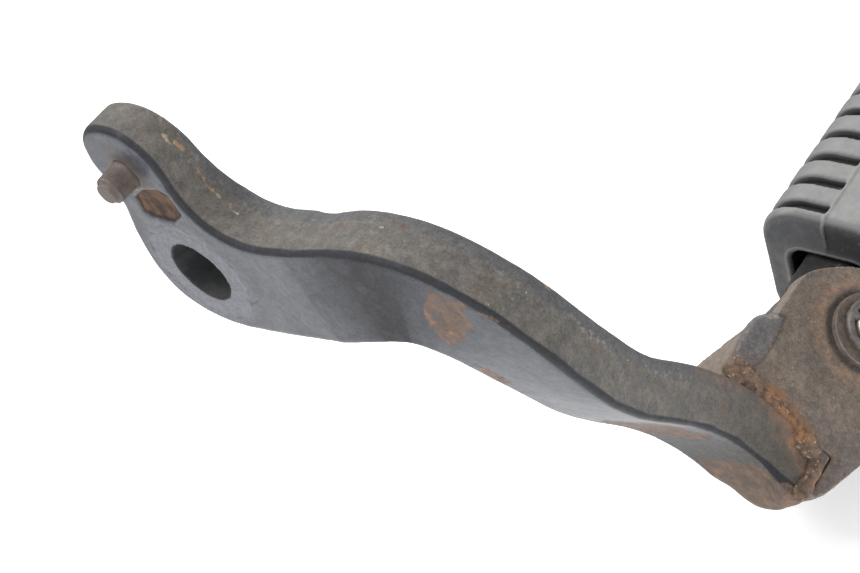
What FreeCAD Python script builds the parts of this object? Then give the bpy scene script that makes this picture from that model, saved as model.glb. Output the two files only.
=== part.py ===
import FreeCAD, Part
import Sketcher
import os, math
from FreeCAD import Vector, Placement, Rotation

# Motorcycle rider footrest: a bent steel arm with a bolt-on mount plate, a folded
# steel clevis welded to its end and a folding rubber-covered peg.
# Frame: origin at the centre of the bolt bore on the inboard mount face,
# +Y outboard along the bolt and the peg, +Z up towards the locating dowel,
# +X along the first run of the arm.
# The arm's front edge faces +Z at the plate and turns to +X on the way down;
# its back edge is the opposite one.

doc = FreeCAD.newDocument("footrest")

# ------------------------------------------------------------------ driving dimensions
DIMENSIONS = [
    # arm and mount plate
    ("plate_thick", 12.0), ("bolt_radius", 7.0), ("edge_round", 1.6),
    ("tab_x", 1.0), ("tab_z", 25.2), ("tab_thin", 8.0),
    ("arm_start", 30.0), ("arm_front", 7.5), ("arm_tip_round", 5.0),
    # locating dowel: dowel_out stands out of the mount face, dowel_in sits in the tab
    ("dowel_radius", 3.0), ("dowel_out", 6.0), ("dowel_in", 9.0),
    ("dowel_chamfer", 0.9), ("dowel_neck", 2.8),
    # clevis: its place, then sizes in its own frame: x across, y outboard, z along the pin
    ("clevis_angle", 58.5), ("clevis_x", 75.99), ("clevis_y", 37.46), ("clevis_z", -89.69),
    ("sheet_thick", 4.5), ("clevis_depth", 34.0), ("web_outer", -26.6), ("web_foot", 3.0),
    ("ear_left", -23.6), ("web_top", 25.4), ("web_top_far", 14.6),
    ("pin_x", -6.0), ("pin_y", 39.35), ("ear_hole", 4.57), ("bend_round", 2.2),
    # pin, washer, split pin
    ("pin_radius", 4.5), ("pin_head_radius", 7.5), ("pin_head_high", 3.2), ("pin_end", 5.2),
    ("washer_radius", 8.2), ("washer_thick", 1.6), ("cotter_radius", 1.0), ("cotter_z", 3.3),
    # peg core
    ("tongue_thick", 24.4), ("tongue_gap", 0.3), ("eye_radius", 11.0), ("core_hole", 4.57),
    ("core_width", 14.0), ("core_high", 13.0), ("core_length", 90.0), ("core_start", 12.8),
    ("peg_angle", 14.0), ("peg_off_x", -5.14), ("peg_off_z", 3.43), ("heel_reach", 15.8),
    # rubber
    ("rubber_high", 32.7), ("rubber_width", 37.5), ("rubber_length", 95.0),
    ("rubber_start", 17.4), ("rubber_round", 10.0), ("rubber_end_round", 2.2),
    ("cavity_gap", 0.35), ("recess_deep", 6.0),
    ("groove_pitch", 7.68), ("groove_wide", 2.6), ("groove_deep", 2.6), ("groove_first", 2.8),
    ("groove_count", 11),
]


class Dimensions:
    """The spreadsheet's values as attributes."""


dim = Dimensions()
sheet = doc.addObject("Spreadsheet::Sheet", "Dims")
for row, (alias, value) in enumerate(DIMENSIONS, start=1):
    sheet.set("A%d" % row, alias)
    sheet.set("B%d" % row, str(value))
    sheet.setAlias("B%d" % row, alias)
    setattr(dim, alias, value)
doc.recompute()

FLAT = 1e-6          # a bounding box thinner than this is flat
BAR_OVERLAP = 5.0    # how far the core bar starts inside the tongue

# Turns a sketch to face outboard: its x stays x, its y becomes -z.
FACE_OUTBOARD = Rotation(Vector(1, 0, 0), -90)

# The clevis frame, the same frame moved to the pin axis, and the peg within the latter.
CLEVIS = Placement(Vector(dim.clevis_x, dim.clevis_y, dim.clevis_z),
                   Rotation(Vector(0, 1, 0), dim.clevis_angle))
PIN = CLEVIS.multiply(Placement(Vector(dim.pin_x, dim.pin_y, 0), Rotation()))
PEG = Placement(Vector(0, 0, -dim.clevis_depth / 2),
                Rotation(Vector(0, 1, 0), dim.peg_angle - dim.clevis_angle))

PIN_CLEARANCE = 0.08        # on the radius, for the washer and the split pin's hole
SPLIT_PIN_DIRECTION = -80.0 # degrees round the clevis pin
SPLIT_PIN_TURN = Placement(Vector(0, 0, 0), Rotation(Vector(0, 0, 1), SPLIT_PIN_DIRECTION))


# ------------------------------------------------------------------ sketch helpers
def origin_item(body, role):
    """Plane or axis of the body's origin."""
    for feature in body.Origin.OriginFeatures:
        if feature.Role == role:
            return feature
    raise RuntimeError(role)


def new_body(name, label):
    body = doc.addObject("PartDesign::Body", name)
    body.Label = label
    return body


def plane_sketch(body, name, role, offset=0.0):
    """Sketch attached to an origin plane, moved along the plane's normal."""
    sketch = body.newObject("Sketcher::SketchObject", name)
    sketch.AttachmentSupport = (origin_item(body, role), [""])
    sketch.MapMode = "FlatFace"
    sketch.AttachmentOffset = Placement(Vector(0, 0, offset), Rotation())
    return sketch


def free_sketch(body, name, placement):
    sketch = body.newObject("Sketcher::SketchObject", name)
    sketch.MapMode = "Deactivated"
    sketch.Placement = placement
    return sketch


def constrain(sketch, *terms):
    return sketch.addConstraint(Sketcher.Constraint(*terms))


def bind(sketch, index, expression):
    sketch.setExpression("Constraints[%d]" % index, expression)


def fix_point(sketch, geometry, point, x, y):
    """Fix a point by its distances from the sketch origin."""
    return (constrain(sketch, "DistanceX", -1, 1, geometry, point, x),
            constrain(sketch, "DistanceY", -1, 1, geometry, point, y))


def flat(point):
    return Vector(point[0], point[1], 0)


def lines(points):
    return [Part.LineSegment(flat(a), flat(b)) for a, b in zip(points, points[1:])]


def arc(start, middle, end):
    return Part.Arc(flat(start), flat(middle), flat(end))


def spline(points):
    curve = Part.BSplineCurve()
    curve.interpolate([flat(point) for point in points])
    return curve


def add_geometry(sketch, items):
    for item in items:
        sketch.addGeometry(item, False)


def add_polygon(sketch, points):
    """Closed polygon with every corner fixed."""
    count = len(points)
    add_geometry(sketch, lines(points + points[:1]))
    for i in range(count):
        constrain(sketch, "Coincident", i, 2, (i + 1) % count, 1)
    for i, (x, y) in enumerate(points):
        fix_point(sketch, i, 1, x, y)


def add_outline(sketch, points, closing):
    """Straight edges through the points, closed by a curve from the last to the first."""
    last_line = len(points) - 2
    add_geometry(sketch, lines(points) + [closing])
    for i in range(last_line + 1):
        constrain(sketch, "Coincident", i, 2, i + 1, 1)
    constrain(sketch, "Coincident", last_line + 1, 2, 0, 1)
    for i, (x, y) in enumerate(points[:-1]):
        fix_point(sketch, i, 1, x, y)
    fix_point(sketch, last_line, 2, *points[-1])


def add_circle(sketch, radius_alias, x_alias=None, y_alias=None, extra=0.0):
    """Circle bound to the sheet; without centre aliases it sits on the sketch origin."""
    x = getattr(dim, x_alias) if x_alias else 0.0
    y = getattr(dim, y_alias) if y_alias else 0.0
    radius = getattr(dim, radius_alias) + extra
    circle = sketch.addGeometry(Part.Circle(Vector(x, y, 0), Vector(0, 0, 1), radius), False)
    index = constrain(sketch, "Radius", circle, radius)
    bind(sketch, index, "Dims.%s + %s" % (radius_alias, extra))
    if not (x_alias or y_alias):
        constrain(sketch, "Coincident", circle, 3, -1, 1)
        return
    for index, alias in zip(fix_point(sketch, circle, 3, x, y), (x_alias, y_alias)):
        if alias:
            bind(sketch, index, "Dims." + alias)


def add_rounded_rect(sketch, x0, x1, y0, y1, radius):
    """Fully fixed rounded rectangle; returns its radius, x0 and y1 constraints."""
    sides = [
        [(x0 + radius, y0), (x1 - radius, y0)],
        [(x1, y0 + radius), (x1, y1 - radius)],
        [(x1 - radius, y1), (x0 + radius, y1)],
        [(x0, y1 - radius), (x0, y0 + radius)],
    ]
    centres = [
        (x1 - radius, y0 + radius), (x1 - radius, y1 - radius),
        (x0 + radius, y1 - radius), (x0 + radius, y0 + radius),
    ]
    for i, (side, centre) in enumerate(zip(sides, centres)):
        corner = Part.Circle(flat(centre), Vector(0, 0, 1), radius)
        start = (i - 1) * math.pi / 2
        add_geometry(sketch, lines(side))
        add_geometry(sketch, [Part.ArcOfCircle(corner, start, start + math.pi / 2)])
    for i in range(8):
        constrain(sketch, "Tangent", i, 2, (i + 1) % 8, 1)
    for i in (0, 4):
        constrain(sketch, "Horizontal", i)
    for i in (2, 6):
        constrain(sketch, "Vertical", i)
    for i in (3, 5, 7):
        constrain(sketch, "Equal", 1, i)
    radius_index = constrain(sketch, "Radius", 1, radius)
    constrain(sketch, "DistanceY", -1, 1, 0, 1, y0)
    constrain(sketch, "DistanceX", -1, 1, 2, 1, x1)
    y1_index = constrain(sketch, "DistanceY", -1, 1, 4, 1, y1)
    x0_index = constrain(sketch, "DistanceX", -1, 1, 6, 1, x0)
    return radius_index, x0_index, y1_index


# ------------------------------------------------------------------ feature helpers
def pad(body, sketch, name, alias, reverse=False):
    feature = body.newObject("PartDesign::Pad", name)
    feature.Profile = sketch
    feature.Length = getattr(dim, alias)
    feature.Reversed = reverse
    feature.setExpression("Length", "Dims." + alias)
    doc.recompute()
    return feature


def pocket(body, sketch, name, length, reverse=False):
    """Cut against the sketch's normal, or along it when reversed."""
    feature = body.newObject("PartDesign::Pocket", name)
    feature.Profile = sketch
    feature.Length = length
    feature.Reversed = reverse
    doc.recompute()
    return feature


def pocket_through(body, sketch, name):
    """Cut through everything on both sides of the sketch."""
    feature = body.newObject("PartDesign::Pocket", name)
    feature.Profile = sketch
    feature.Type = 1
    feature.Midplane = True
    doc.recompute()
    return feature


def turn(body, sketch, name):
    """Full turn about the sketch's vertical axis."""
    feature = body.newObject("PartDesign::Revolution", name)
    feature.Profile = sketch
    feature.ReferenceAxis = (sketch, ["V_Axis"])
    feature.Angle = 360
    doc.recompute()


def round_edges(body, base, name, alias, chosen):
    """Fillet the edges of base for which chosen(edge) is true."""
    names = ["Edge%d" % i for i, edge in enumerate(base.Shape.Edges, start=1) if chosen(edge)]
    feature = body.newObject("PartDesign::Fillet", name)
    feature.Base = (base, names)
    feature.Radius = getattr(dim, alias)
    feature.setExpression("Radius", "Dims." + alias)
    doc.recompute()


# ------------------------------------------------------------------ arm
PLATE_BACK = 15.8      # arm's lower edge at the plate, below the bolt
WEDGE_START_Z = 11.0   # where the tab starts to thin
WEDGE_END_Z = 36.0     # where it reaches tab_thin
WEDGE_TOP_Z = 40.0     # clear of the tab's end
WEDGE_MARGIN = 3.0     # clear of the plate's outboard face

# Plate outline in (x, z): from the arm's upper edge round the tab and the bolt lobe
# to the arm's lower edge.
PLATE_OUTLINE = [
    (dim.arm_start, dim.arm_front), (28.5, dim.arm_front), (27.0, dim.arm_front),
    (25.5, dim.arm_front), (22.6, 7.7), (19.2, 8.5), (16.0, 10.0), (12.9, 12.7),
    (11.2, 16.1), (10.7, 20.6), (11.2, 25.4), (9.7, 31.0), (5.9, 34.6), (1.0, 35.8),
    (-4.1, 35.0), (-8.1, 31.7), (-9.6, 26.2), (-9.4, 20.6), (-10.1, 16.6), (-12.4, 11.6),
    (-14.4, 5.6), (-15.5, -1.2), (-14.0, -7.0), (-9.6, -11.6), (-2.6, -14.5), (5.6, -15.5),
    (13.0, -15.75), (19.0, -15.8), (24.5, -PLATE_BACK),
    (27.0, -PLATE_BACK), (28.5, -PLATE_BACK), (dim.arm_start, -PLATE_BACK),
]

# Arm stations: point on the inboard face, run direction, direction towards the back
# edge, distance from the point to the back edge.
STATIONS = [
    ((30.00, 0.00, 0.00), (1.0, 0.0, 0.0), (0.0, 0.0, -1.0), 15.80),
    ((42.86, 1.07, 0.40), (0.9967, 0.0695, -0.0414), (-0.0426, 0.0158, -0.9990), 15.68),
    ((53.29, 1.97, -1.51), (0.9192, 0.0971, -0.3816), (-0.3835, 0.0003, -0.9235), 15.42),
    ((61.78, 3.21, -7.77), (0.6411, 0.1408, -0.7544), (-0.7590, -0.0293, -0.6504), 15.15),
    ((66.74, 5.15, -16.98), (0.2833, 0.2275, -0.9317), (-0.9513, -0.0563, -0.3030), 14.89),
    ((68.23, 8.08, -27.15), (0.0193, 0.3175, -0.9481), (-0.9960, -0.0767, -0.0460), 14.63),
    ((67.70, 11.98, -37.11), (-0.0989, 0.4133, -0.9052), (-0.9939, -0.0848, 0.0698), 14.36),
    ((66.43, 17.05, -46.46), (-0.1256, 0.5373, -0.8340), (-0.9897, -0.1265, 0.0675), 14.10),
    ((65.17, 23.28, -55.09), (-0.1054, 0.6030, -0.7907), (-0.9882, -0.1524, 0.0155), 13.83),
    ((64.25, 29.50, -63.77), (-0.0593, 0.5369, -0.8416), (-0.9910, -0.1331, -0.0151), 13.57),
    ((64.23, 34.47, -73.24), (0.0704, 0.3751, -0.9243), (-0.9926, -0.0658, -0.1023), 13.30),
    ((66.06, 37.10, -83.38), (0.2787, 0.1522, -0.9482), (-0.9601, 0.0100, -0.2792), 13.04),
    ((70.96, 37.80, -94.18), (0.5216, 0.0105, -0.8532), (-0.8532, 0.0000, -0.5216), 12.77),
]
# Distance to the front edge and thickness: the first three sections settle from the
# plate's size, the rest have the arm's own.
SETTLING_SIZES = [(dim.arm_front, dim.plate_thick), (6.95, 11.6), (6.85, 11.45)]
ARM_SIZE = (6.8, 11.4)


def plate_edge(edge):
    """Long edges of the plate's outline, leaving out the joint with the arm."""
    box = edge.BoundBox
    thick = dim.plate_thick
    if box.XLength < FLAT and abs(box.XMin - dim.arm_start) < FLAT:
        return False
    if box.YLength < FLAT:
        outboard = abs(box.YMin - thick) < FLAT and not box.ZLength < FLAT
        return abs(box.YMin) < FLAT or outboard
    middle = edge.valueAt((edge.FirstParameter + edge.LastParameter) / 2)
    rise = (middle.y - thick) * (WEDGE_END_Z - WEDGE_START_Z)
    slope = (middle.z - WEDGE_START_Z) * (dim.tab_thin - thick)
    return abs(rise - slope) < 0.05 and middle.z > WEDGE_START_Z + 0.1 and box.ZLength > 1.0


def add_plate(arm):
    sketch = plane_sketch(arm, "PlateOutline", "XZ_Plane")
    joint = lines([(dim.arm_start, -PLATE_BACK), (dim.arm_start, dim.arm_front)])
    add_geometry(sketch, [spline(PLATE_OUTLINE)] + joint)
    constrain(sketch, "Coincident", 0, 2, 1, 1)
    constrain(sketch, "Coincident", 0, 1, 1, 2)
    constrain(sketch, "Vertical", 1)
    start_index, front_index = fix_point(sketch, 1, 2, dim.arm_start, dim.arm_front)
    constrain(sketch, "DistanceY", -1, 1, 1, 1, -PLATE_BACK)
    bind(sketch, start_index, "Dims.arm_start")
    bind(sketch, front_index, "Dims.arm_front")
    pad(arm, sketch, "Plate", "plate_thick", reverse=True)

    # the tab thins towards its end on the outboard side; profile in (y, z)
    clear_y = dim.plate_thick + WEDGE_MARGIN
    sketch = plane_sketch(arm, "TabWedge", "YZ_Plane")
    add_polygon(sketch, [
        (dim.plate_thick, WEDGE_START_Z), (dim.tab_thin, WEDGE_END_Z),
        (dim.tab_thin, WEDGE_TOP_Z), (clear_y, WEDGE_TOP_Z), (clear_y, WEDGE_START_Z),
    ])
    wedge = pocket_through(arm, sketch, "TabThin")
    round_edges(arm, wedge, "PlateRound", "edge_round", plate_edge)


def arm_section(arm, number):
    """Rounded section: sketch x towards the back edge, y outboard, normal along the run."""
    point, run, side, back = STATIONS[number]
    run = Vector(*run)
    run.normalize()
    side = Vector(*side)
    side = side - run * side.dot(run)
    side.normalize()
    out = run.cross(side)
    matrix = FreeCAD.Matrix(side.x, out.x, run.x, point[0],
                            side.y, out.y, run.y, point[1],
                            side.z, out.z, run.z, point[2],
                            0, 0, 0, 1)
    sketch = free_sketch(arm, "Section%02d" % number, Placement(matrix))
    front, thick = SETTLING_SIZES[number] if number < len(SETTLING_SIZES) else ARM_SIZE
    radius_index, front_index, thick_index = add_rounded_rect(
        sketch, -front, back, 0.0, thick, dim.edge_round)
    bind(sketch, radius_index, "Dims.edge_round")
    if number == 0:
        bind(sketch, front_index, "-Dims.arm_front")
        bind(sketch, thick_index, "Dims.plate_thick")
    return sketch


def round_arm_tip(arm):
    """Round the tip's back corner; sketch x along the run, y towards the back edge."""
    end_x = 1.8                              # past the end of the arm
    back_y = ARM_SIZE[0] + STATIONS[-1][3]   # full width of the arm at its tip
    clear_y = back_y + 3.0
    arc_x = -dim.arm_tip_round - 1.3
    arc_y = back_y + 0.3
    corner_y = back_y - dim.arm_tip_round
    placement = CLEVIS.multiply(Placement(Vector(0, 0, 0), FACE_OUTBOARD))
    sketch = free_sketch(arm, "TipCut", placement)
    add_geometry(sketch, lines([
        (end_x, corner_y), (end_x, clear_y), (arc_x, clear_y), (arc_x, arc_y),
    ]))
    add_geometry(sketch, [arc((arc_x, arc_y), (-0.7, back_y - 1.5), (end_x, corner_y))])
    pocket_through(arm, sketch, "TipRound")


def make_arm():
    arm = new_body("Arm", "arm")
    add_plate(arm)

    sections = [arm_section(arm, number) for number in range(len(STATIONS))]
    doc.recompute()
    loft = arm.newObject("PartDesign::AdditiveLoft", "ArmLoft")
    loft.Profile = sections[0]
    loft.Sections = sections[1:]
    loft.Ruled = False
    loft.Closed = False
    doc.recompute()

    sketch = plane_sketch(arm, "BoltBore", "XZ_Plane")
    add_circle(sketch, "bolt_radius")
    pocket_through(arm, sketch, "Bore")

    sketch = plane_sketch(arm, "DowelBore", "XZ_Plane")
    add_circle(sketch, "dowel_radius", "tab_x", "tab_z")
    seat = pocket(arm, sketch, "DowelSeat", dim.dowel_in)
    seat.setExpression("Length", "Dims.dowel_in")

    round_arm_tip(arm)
    return arm


# ------------------------------------------------------------------ locating dowel
def make_dowel():
    neck_wide = 0.5      # narrow neck just inside the mount face
    seat_chamfer = 0.4   # on the end inside the tab
    radius, outer, inner = dim.dowel_radius, dim.dowel_out, dim.dowel_in
    dowel = new_body("Dowel", "locating_dowel")
    sketch = plane_sketch(dowel, "DowelProfile", "XY_Plane")
    add_polygon(sketch, [
        (0, -outer), (radius - dim.dowel_chamfer, -outer), (radius, -outer + dim.dowel_chamfer),
        (radius, 0), (dim.dowel_neck, 0), (dim.dowel_neck, neck_wide), (radius, neck_wide),
        (radius, inner - seat_chamfer), (radius - seat_chamfer, inner), (0, inner),
    ])
    turn(dowel, sketch, "DowelTurn")
    dowel.Placement = Placement(Vector(dim.tab_x, 0, dim.tab_z), Rotation())
    return dowel


# ------------------------------------------------------------------ clevis
WEB_FAR_FOOT = 10.0    # foot of the web and the ear at the far end

# Web profile in (y, z)
WEB = [
    (dim.web_foot, 0), (dim.web_top, 0), (dim.web_top_far, -dim.clevis_depth),
    (WEB_FAR_FOOT, -dim.clevis_depth), (WEB_FAR_FOOT, -22.0), (dim.web_foot, -17.0),
]
# Ears in (x, y): the straight-sided part, then the curve over the top.
# The near ear is at z = 0, the far ear at the -z end.
NEAR_EAR = [
    (dim.ear_left, 39.0), (dim.ear_left, 27.4), (-24.6, 27.1), (-25.8, 26.6),
    (dim.web_outer, dim.web_top), (dim.web_outer, 15.0), (-23.8, 13.6), (-21.0, 11.6),
    (1.5, 11.6), (1.5, 1.6), (2.2, 1.7), (3.8, 3.4), (7.2, 14.0), (9.6, 25.0), (10.4, 37.0),
]
NEAR_CROWN = [
    (9.6, 42.6), (7.0, 47.6), (2.0, 52.0), (-4.0, 53.9), (-9.4, 53.3), (-14.5, 51.0),
    (-19.6, 46.2), (-22.6, 42.2),
]
FAR_EAR = [
    (-18.6, 38.5), (-21.6, 31.5), (-23.2, 25.0), (-24.4, 16.6),
    (dim.web_outer, dim.web_top_far), (dim.web_outer, WEB_FAR_FOOT), (-14.0, WEB_FAR_FOOT),
    (-4.0, 12.0), (5.0, 18.5), (9.6, 27.0), (10.4, 37.0),
]
FAR_CROWN = [
    (9.6, 42.6), (7.0, 47.6), (2.0, 52.0), (-4.0, 53.6), (-9.4, 51.8), (-14.0, 46.6),
]


def fold_edge(edge):
    """Outer edges where the web meets the ears."""
    box = edge.BoundBox
    on_ear = abs(box.ZMin) < FLAT or abs(box.ZMin + dim.clevis_depth) < FLAT
    return (box.XLength < FLAT and box.ZLength < FLAT and box.YLength > 8
            and abs(box.XMin - dim.web_outer) < FLAT and on_ear)


def make_clevis(arm):
    clevis = new_body("Clevis", "clevis_sheet")
    sketch = plane_sketch(clevis, "WebProfile", "YZ_Plane", dim.web_outer)
    add_polygon(sketch, WEB)
    pad(clevis, sketch, "Web", "sheet_thick")

    far_z = -dim.clevis_depth + dim.sheet_thick
    for sketch_name, pad_name, points, crown, z in (
        ("NearEar", "EarNear", NEAR_EAR, NEAR_CROWN, 0.0),
        ("FarEar", "EarFar", FAR_EAR, FAR_CROWN, far_z),
    ):
        sketch = plane_sketch(clevis, sketch_name, "XY_Plane", z)
        add_outline(sketch, points, spline(points[-1:] + crown + points[:1]))
        pad(clevis, sketch, pad_name, "sheet_thick", reverse=True)

    sketch = plane_sketch(clevis, "PinHole", "XY_Plane")
    add_circle(sketch, "ear_hole", "pin_x", "pin_y")
    bore = pocket_through(clevis, sketch, "PinBore")
    round_edges(clevis, bore, "FoldRound", "bend_round", fold_edge)

    clevis.Placement = CLEVIS
    for axis in "xyz":
        clevis.setExpression("Placement.Base." + axis, "Dims.clevis_" + axis)
    doc.recompute()

    # the feet are cut to sit on the arm's outboard face
    seated = doc.addObject("Part::Cut", "ClevisSeated")
    seated.Label = "clevis_bracket"
    seated.Base = clevis
    seated.Tool = arm
    doc.recompute()
    return seated


# ------------------------------------------------------------------ pin, washer, split pin
def make_pin():
    """Headed pin; the head bears on the far ear."""
    head_gap = 0.15
    head_chamfer = 0.6
    end_chamfer_long, end_chamfer_deep = 1.0, 1.1
    radius, head_radius, end_z = dim.pin_radius, dim.pin_head_radius, dim.pin_end
    seat_z = -dim.clevis_depth - head_gap
    head_z = seat_z - dim.pin_head_high
    pin = new_body("Pin", "clevis_pin")
    sketch = plane_sketch(pin, "PinProfile", "XZ_Plane")
    add_polygon(sketch, [
        (0, head_z), (head_radius - head_chamfer, head_z), (head_radius, head_z + head_chamfer),
        (head_radius, seat_z), (radius, seat_z), (radius, end_z - end_chamfer_long),
        (radius - end_chamfer_deep, end_z), (0, end_z),
    ])
    turn(pin, sketch, "PinTurn")
    sketch = plane_sketch(pin, "CotterHole", "XZ_Plane")
    add_circle(sketch, "cotter_radius", y_alias="cotter_z", extra=PIN_CLEARANCE)
    pocket_through(pin, sketch, "CotterBore")
    pin.Placement = PIN.multiply(SPLIT_PIN_TURN)
    return pin


def make_washer():
    ear_gap = 0.1
    washer = new_body("Washer", "pin_washer")
    sketch = plane_sketch(washer, "WasherRing", "XY_Plane")
    add_circle(sketch, "washer_radius")
    add_circle(sketch, "pin_radius", extra=PIN_CLEARANCE)
    pad(washer, sketch, "WasherPad", "washer_thick")
    washer.Placement = PIN.multiply(Placement(Vector(0, 0, ear_gap), Rotation()))
    return washer


def make_split_pin():
    """Ring head, straight shank through the pin, two legs turned opposite ways round it."""
    wire, z = dim.cotter_radius, dim.cotter_z
    shank_head, shank_tail = 2.6, 2.0    # how far the shank stands out of the pin
    ring_radius, ring_wire, ring_out = 2.0, wire * 0.8, 4.3
    leg_radius = dim.pin_radius + wire + 0.3
    leg_wire = wire * 0.88
    leg_root, leg_sweep = -90, 104       # degrees
    up = Vector(0, 0, 1)

    shank = Part.makeCylinder(wire, 2 * dim.pin_radius + shank_head + shank_tail,
                              Vector(0, dim.pin_radius + shank_head, z), Vector(0, -1, 0))
    ring = Part.makeTorus(ring_radius, ring_wire, Vector(0, dim.pin_radius + ring_out, z), up)
    shape = shank.fuse(ring)
    for start, tip in (
        (leg_root, leg_root + leg_sweep),
        (leg_root - leg_sweep, leg_root - leg_sweep),
    ):
        leg = Part.makeTorus(leg_radius, leg_wire, Vector(0, 0, z), up, -180, 180, leg_sweep)
        leg.rotate(Vector(0, 0, 0), up, start)
        angle = math.radians(tip)
        centre = Vector(leg_radius * math.cos(angle), leg_radius * math.sin(angle), z)
        shape = shape.fuse(leg).fuse(Part.makeSphere(leg_wire, centre))
    split_pin = doc.addObject("Part::Feature", "SplitPin")
    split_pin.Label = "split_pin"
    split_pin.Shape = shape.removeSplitter().Solids[0]
    split_pin.Placement = PIN.multiply(SPLIT_PIN_TURN)
    return split_pin


# ------------------------------------------------------------------ peg core
# Tongue in (x, y) from the pin axis: from the eye over the outboard end, down the side
# facing the web to the heel; an arc closes it round the eye.
TONGUE = [
    (dim.eye_radius, 0), (8.5, 8.5), (4.0, dim.core_start), (-11.0, dim.core_start),
    (-12.3, 6.0), (-12.6, -7.5), (-dim.heel_reach, -14.6), (-dim.heel_reach, -18.2),
    (-9.0, -18.2),
]
TONGUE_ARC_MIDDLE = (7.2, -8.6)


def peg_section(body, name, frame, y, half_x, half_z, radius):
    """Rounded section centred on the peg, facing outboard at y in the frame."""
    placement = frame.multiply(Placement(Vector(0, y, 0), FACE_OUTBOARD))
    sketch = free_sketch(body, name, placement)
    x, z = dim.peg_off_x, dim.peg_off_z
    add_rounded_rect(sketch, x - half_x, x + half_x, -z - half_z, -z + half_z, radius)
    return sketch


def make_core():
    """Flat tongue with a pin eye and a heel, and a bar turned to the peg's angle."""
    bar_round = 3.0
    core = new_body("Core", "peg_core")
    sketch = plane_sketch(core, "Tongue", "XY_Plane", -dim.sheet_thick - dim.tongue_gap)
    add_outline(sketch, TONGUE, arc(TONGUE[-1], TONGUE_ARC_MIDDLE, TONGUE[0]))
    pad(core, sketch, "TonguePad", "tongue_thick", reverse=True)

    sketch = peg_section(core, "BarSection", PEG, dim.core_start - BAR_OVERLAP,
                         dim.core_high / 2, dim.core_width / 2, bar_round)
    pad(core, sketch, "Bar", "core_length")

    sketch = plane_sketch(core, "EyeHole", "XY_Plane")
    add_circle(sketch, "core_hole")
    pocket_through(core, sketch, "EyeBore")
    core.Placement = PIN
    return core


# ------------------------------------------------------------------ rubber
# In the peg frame: x the thin direction with the tread at -x, y outboard, z across.
def groove_sketch(rubber):
    """Band round the tread half of the section, groove_deep inside its surface."""
    margin = 2.0                      # clear of the rubber outside
    stop_x = dim.peg_off_x - 0.2      # the grooves end just on the tread side of the middle
    deep, corner = dim.groove_deep, dim.rubber_round
    tread = dim.peg_off_x - dim.rubber_high / 2
    low = -dim.peg_off_z - dim.rubber_width / 2
    high = -dim.peg_off_z + dim.rubber_width / 2
    floor = tread + deep
    # from the floor's square corner to the middle of its rounding, in x and in y
    inset = (corner - deep) * (1 - math.cos(math.pi / 4))
    clear_x, clear_low, clear_high = tread - margin, low - margin, high + margin

    placement = Placement(Vector(0, dim.rubber_start + dim.groove_first, 0), FACE_OUTBOARD)
    sketch = free_sketch(rubber, "GrooveSection", placement)
    low_start, low_end = (tread + corner, low + deep), (floor, low + corner)
    high_start, high_end = (floor, high - corner), (tread + corner, high - deep)
    add_geometry(sketch, lines([(stop_x, clear_low), (stop_x, low + deep), low_start]))
    add_geometry(sketch, [arc(low_start, (floor + inset, low + deep + inset), low_end)])
    add_geometry(sketch, lines([low_end, high_start]))
    add_geometry(sketch, [arc(high_start, (floor + inset, high - deep - inset), high_end)])
    add_geometry(sketch, lines([
        high_end, (stop_x, high - deep), (stop_x, clear_high), (clear_x, clear_high),
        (clear_x, clear_low), (stop_x, clear_low),
    ]))
    return sketch


def make_rubber():
    overcut = 1.0                 # pockets start this far inboard of the rubber
    cavity_end_gap = 0.5          # beyond the end of the core bar
    cavity_round = 3.3
    mouth_half_x, mouth_half_z, mouth_round = 9.4, 8.2, 4.0
    frame = Placement()
    rubber = new_body("Rubber", "peg_rubber")
    sketch = peg_section(rubber, "RubberSection", frame, dim.rubber_start,
                         dim.rubber_high / 2, dim.rubber_width / 2, dim.rubber_round)
    block = pad(rubber, sketch, "RubberPad", "rubber_length")
    round_edges(rubber, block, "RubberEnds", "rubber_end_round",
                lambda edge: edge.BoundBox.YLength < FLAT)

    # core cavity and its wider mouth at the inboard end
    cut_start = dim.rubber_start - overcut
    core_end = dim.core_start - BAR_OVERLAP + dim.core_length
    sketch = peg_section(rubber, "CavitySection", frame, cut_start,
                         dim.core_high / 2 + dim.cavity_gap,
                         dim.core_width / 2 + dim.cavity_gap, cavity_round)
    pocket(rubber, sketch, "Cavity", core_end + cavity_end_gap - cut_start, reverse=True)
    sketch = peg_section(rubber, "MouthSection", frame, cut_start,
                         mouth_half_x, mouth_half_z, mouth_round)
    pocket(rubber, sketch, "Mouth", dim.recess_deep + overcut, reverse=True)

    # one groove, then the row of them
    groove = pocket(rubber, groove_sketch(rubber), "Groove", dim.groove_wide, reverse=True)
    groove.setExpression("Length", "Dims.groove_wide")
    doc.recompute()
    row = rubber.newObject("PartDesign::LinearPattern", "Grooves")
    row.Originals = [groove]
    row.Direction = (origin_item(rubber, "Y_Axis"), [""])
    row.Length = dim.groove_pitch * (dim.groove_count - 1)
    row.Occurrences = dim.groove_count
    row.setExpression("Length", "Dims.groove_pitch * (Dims.groove_count - 1)")
    rubber.Tip = row
    doc.recompute()
    rubber.Placement = PIN.multiply(PEG)
    return rubber


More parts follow.
